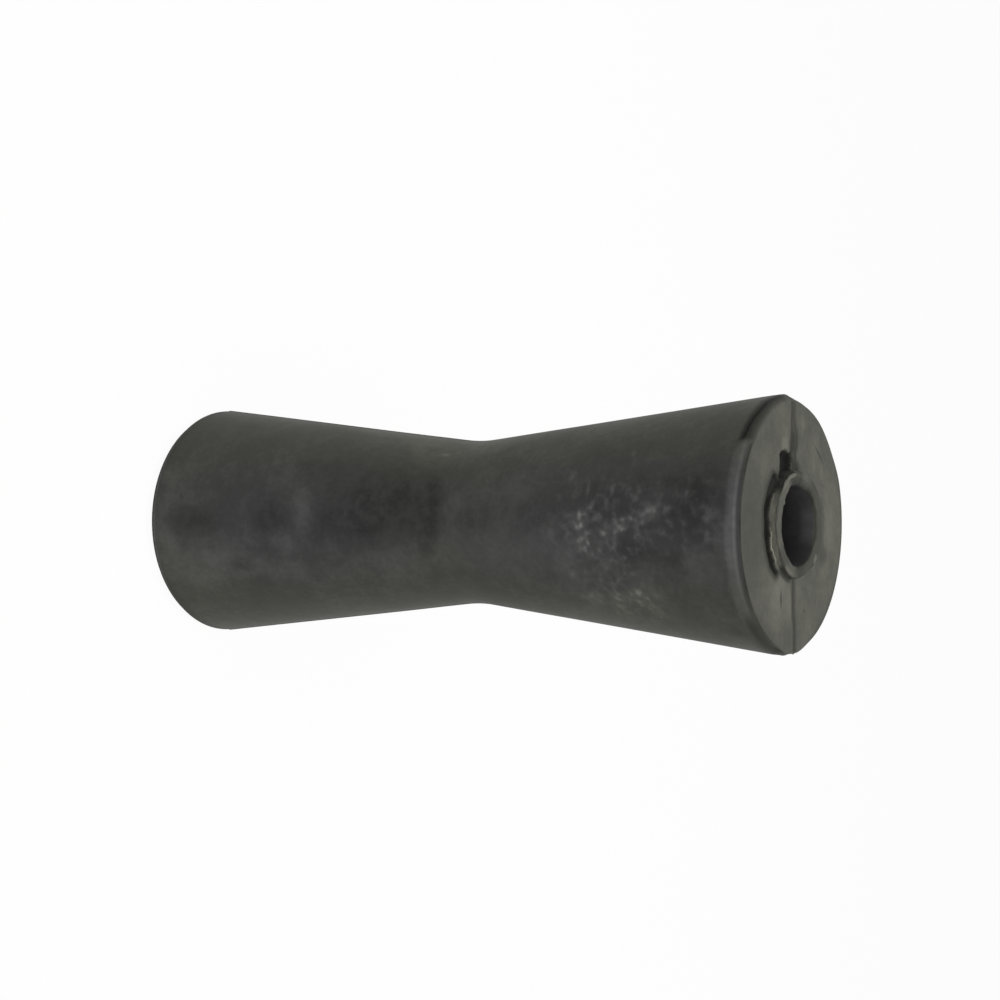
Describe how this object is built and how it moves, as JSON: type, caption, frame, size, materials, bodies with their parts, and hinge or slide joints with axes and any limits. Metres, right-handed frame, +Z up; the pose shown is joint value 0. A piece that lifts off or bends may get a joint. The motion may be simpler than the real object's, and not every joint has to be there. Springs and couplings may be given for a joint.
{
  "type": "boat trailer keel roller",
  "caption": "Black rubber keel roller for a boat trailer, two cones meeting in a narrow waist, with a collared bore through for a spindle and a torn rim at one end.",
  "frame": {"origin": "on the bore axis at the foot of the lower collar, which the roller stands on", "axes": "+Z up along the bore axis; the mould parts in the XZ plane; the torn rim of the upper end lies between -X and -Y"},
  "size_m": [0.0712, 0.0708, 0.2032],
  "materials": {
    "rubber": "matte moulded black rubber, greyed by bloom and scuffs"
  },
  "bodies": {
    "root": {"roller": "rubber"}
  },
  "joints": []
}
